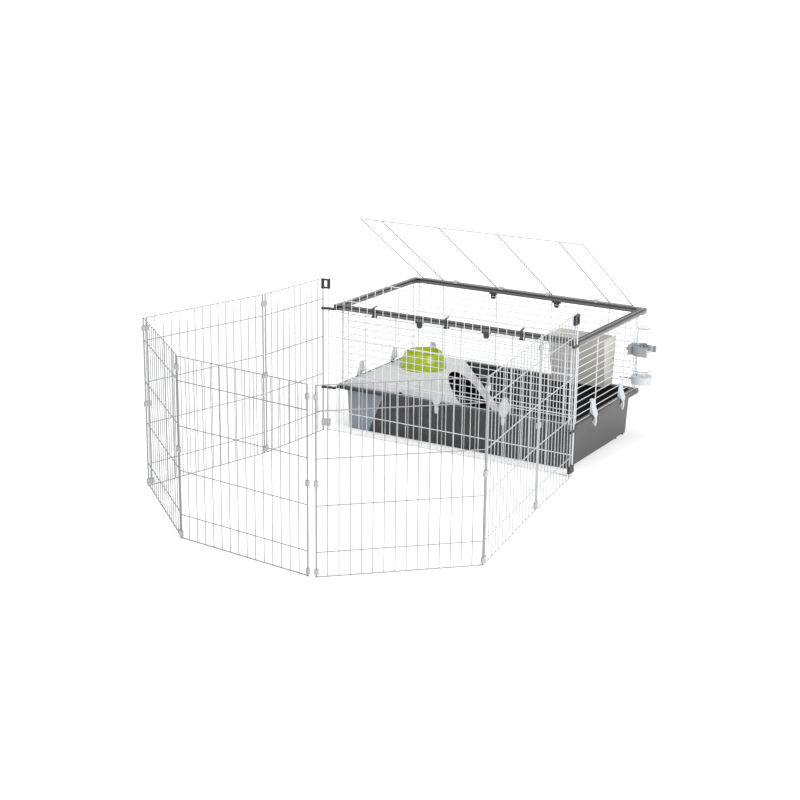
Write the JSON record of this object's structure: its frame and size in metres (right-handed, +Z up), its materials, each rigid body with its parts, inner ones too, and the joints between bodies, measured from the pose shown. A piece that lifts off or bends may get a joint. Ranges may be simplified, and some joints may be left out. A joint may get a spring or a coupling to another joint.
{
  "type": "pet cage with exercise pen",
  "caption": "Small animal cage with a deep grey tray, white wire walls, hinged wire roof, shelf with ramp, bowl, hay rack and bottle, joined to a ring of hinged wire pen panels",
  "frame": {"origin": "Centre of the tray's flat underside, on the floor.", "axes": "+Z up, +X to the right along the cage's long side, +Y from the pen to the back of the cage."},
  "size_m": [1.3024, 1.8579, 0.792],
  "materials": {
    "tray_plastic": "dark grey glossy moulding",
    "frame_plastic": "dark grey satin moulding",
    "white_wire": "white coated wire",
    "pen_wire": "pale grey coated wire",
    "light_plastic": "light grey moulding",
    "connector_plastic": "light grey moulding",
    "black_plastic": "black moulding",
    "lime_plastic": "lime green moulding",
    "rack_plastic": "grey beige moulding",
    "holder_plastic": "mid grey moulding",
    "clear_bottle": "clear bottle",
    "bright_steel": "polished steel"
  },
  "bodies": {
    "cage": {"tray": "tray_plastic", "front_rail": "frame_plastic", "back_rail": "frame_plastic", "left_rail": "frame_plastic", "right_rail": "frame_plastic", "front_wall": "white_wire", "back_wall": "white_wire", "left_wall": "white_wire", "right_wall": "white_wire", "rail_corners": "frame_plastic", "rail_tabs": "frame_plastic", "roof_knuckles": "light_plastic", "latch_brackets": "frame_plastic", "bottle_holder": "holder_plastic", "pen_front_panel": "pen_wire", "cage_links_left": "black_plastic", "cage_links_right": "black_plastic", "cage_foot_link_left": "connector_plastic", "cage_foot_link_right": "black_plastic"},
    "roof": {"roof": "white_wire"},
    "roof_latch_left": {"roof_latch_left": "frame_plastic"},
    "roof_latch_middle": {"roof_latch_middle": "frame_plastic"},
    "roof_latch_right": {"roof_latch_right": "frame_plastic"},
    "front_clip_a": {"front_clip_a": "light_plastic"},
    "front_clip_b": {"front_clip_b": "light_plastic"},
    "back_clip_a": {"back_clip_a": "light_plastic"},
    "back_clip_b": {"back_clip_b": "light_plastic"},
    "left_clip_a": {"left_clip_a": "light_plastic"},
    "left_clip_b": {"left_clip_b": "light_plastic"},
    "right_clip_a": {"right_clip_a": "light_plastic"},
    "right_clip_b": {"right_clip_b": "light_plastic"},
    "shelf": {"shelf": "light_plastic"},
    "bowl": {"bowl": "lime_plastic"},
    "hay_rack": {"hay_rack": "rack_plastic"},
    "bottle": {"bottle": "clear_bottle", "bottle_cap": "light_plastic", "bottle_spout": "bright_steel"},
    "spout_ball": {"spout_ball": "bright_steel"},
    "pen_left_1": {"pen_left_panel_1": "pen_wire", "pen_left_connectors_1": "connector_plastic"},
    "pen_left_2": {"pen_left_panel_2": "pen_wire", "pen_left_connectors_2": "connector_plastic"},
    "pen_left_3": {"pen_left_panel_3": "pen_wire", "pen_left_connectors_3": "connector_plastic"},
    "pen_left_4": {"pen_left_panel_4": "pen_wire", "pen_end_blocks_left": "connector_plastic"},
    "pen_right_1": {"pen_right_panel_1": "pen_wire", "pen_right_connectors_1": "connector_plastic"},
    "pen_right_2": {"pen_right_panel_2": "pen_wire", "pen_right_connectors_2": "connector_plastic"},
    "pen_right_3": {"pen_right_panel_3": "pen_wire", "pen_end_blocks_right": "connector_plastic"}
  },
  "joints": [
    {"name": "roof_hinge", "type": "hinge", "parent": "cage", "child": "roof", "pos_m": [0, 0.28, 0.485], "axis": [-1, 0, 0], "range_deg": [-33, 140]},
    {"name": "roof_latch_left_hinge", "type": "hinge", "parent": "cage", "child": "roof_latch_left", "pos_m": [-0.318, -0.3042, 0.458], "axis": [-1, 0, 0], "range_deg": [0, 16]},
    {"name": "roof_latch_middle_hinge", "type": "hinge", "parent": "cage", "child": "roof_latch_middle", "pos_m": [-0.017, -0.3042, 0.458], "axis": [-1, 0, 0], "range_deg": [0, 16]},
    {"name": "roof_latch_right_hinge", "type": "hinge", "parent": "cage", "child": "roof_latch_right", "pos_m": [0.284, -0.3042, 0.458], "axis": [-1, 0, 0], "range_deg": [0, 16]},
    {"name": "front_clip_a_hinge", "type": "hinge", "parent": "cage", "child": "front_clip_a", "pos_m": [-0.055, -0.2858, 0.157], "axis": [1, 0, 0], "range_deg": [0, 12]},
    {"name": "front_clip_b_hinge", "type": "hinge", "parent": "cage", "child": "front_clip_b", "pos_m": [0.216, -0.2858, 0.157], "axis": [1, 0, 0], "range_deg": [0, 12]},
    {"name": "back_clip_a_hinge", "type": "hinge", "parent": "cage", "child": "back_clip_a", "pos_m": [0.3, 0.2858, 0.157], "axis": [-1, 0, 0], "range_deg": [0, 60]},
    {"name": "back_clip_b_hinge", "type": "hinge", "parent": "cage", "child": "back_clip_b", "pos_m": [-0.4, 0.2858, 0.157], "axis": [-1, 0, 0], "range_deg": [0, 60]},
    {"name": "left_clip_a_hinge", "type": "hinge", "parent": "cage", "child": "left_clip_a", "pos_m": [-0.4858, 0.122, 0.157], "axis": [0, -1, 0], "range_deg": [0, 60]},
    {"name": "left_clip_b_hinge", "type": "hinge", "parent": "cage", "child": "left_clip_b", "pos_m": [-0.4858, -0.122, 0.157], "axis": [0, -1, 0], "range_deg": [0, 60]},
    {"name": "right_clip_a_hinge", "type": "hinge", "parent": "cage", "child": "right_clip_a", "pos_m": [0.4858, -0.122, 0.157], "axis": [0, 1, 0], "range_deg": [0, 60]},
    {"name": "right_clip_b_hinge", "type": "hinge", "parent": "cage", "child": "right_clip_b", "pos_m": [0.4858, 0.122, 0.157], "axis": [0, 1, 0], "range_deg": [0, 60]},
    {"name": "shelf_lift", "type": "slide", "parent": "cage", "child": "shelf", "axis": [0, 0, 1], "range_m": [0, 0.2]},
    {"name": "bowl_lift", "type": "slide", "parent": "shelf", "child": "bowl", "axis": [0, 0, 1], "range_m": [0, 0.12]},
    {"name": "hay_rack_lift", "type": "slide", "parent": "cage", "child": "hay_rack", "axis": [0, 0, 1], "range_m": [0, 0.018]},
    {"name": "bottle_pull", "type": "slide", "parent": "cage", "child": "bottle", "axis": [1, 0, 0], "range_m": [0, 0.08]},
    {"name": "spout_ball_push", "type": "slide", "parent": "bottle", "child": "spout_ball", "axis": [1, 0, 0], "range_m": [0, 0.003]},
    {"name": "pen_left_1_hinge", "type": "hinge", "parent": "cage", "child": "pen_left_1", "pos_m": [-0.5225, -0.33, 0.292], "axis": [0, 0, 1], "range_deg": [-90, 0]},
    {"name": "pen_left_2_hinge", "type": "hinge", "parent": "pen_left_1", "child": "pen_left_2", "pos_m": [-0.54563, -0.67823, 0.292], "axis": [0, 0, 1], "range_deg": [-90, 0]},
    {"name": "pen_left_3_hinge", "type": "hinge", "parent": "pen_left_2", "child": "pen_left_3", "pos_m": [-0.66796, -1.18004, 0.292], "axis": [0, 0, 1], "range_deg": [-90, 60]},
    {"name": "pen_left_4_hinge", "type": "hinge", "parent": "pen_left_3", "child": "pen_left_4", "pos_m": [-0.26884, -1.50788, 0.292], "axis": [0, 0, 1], "range_deg": [-100, 60]},
    {"name": "pen_right_1_hinge", "type": "hinge", "parent": "cage", "child": "pen_right_1", "pos_m": [0.5025, -0.344, 0.292], "axis": [0, 0, -1], "range_deg": [-90, 0]},
    {"name": "pen_right_2_hinge", "type": "hinge", "parent": "pen_right_1", "child": "pen_right_2", "pos_m": [0.54382, -0.69054, 0.292], "axis": [0, 0, -1], "range_deg": [-90, 0]},
    {"name": "pen_right_3_hinge", "type": "hinge", "parent": "pen_right_2", "child": "pen_right_3", "pos_m": [0.62283, -1.20097, 0.292], "axis": [0, 0, -1], "range_deg": [-100, 70]}
  ]
}
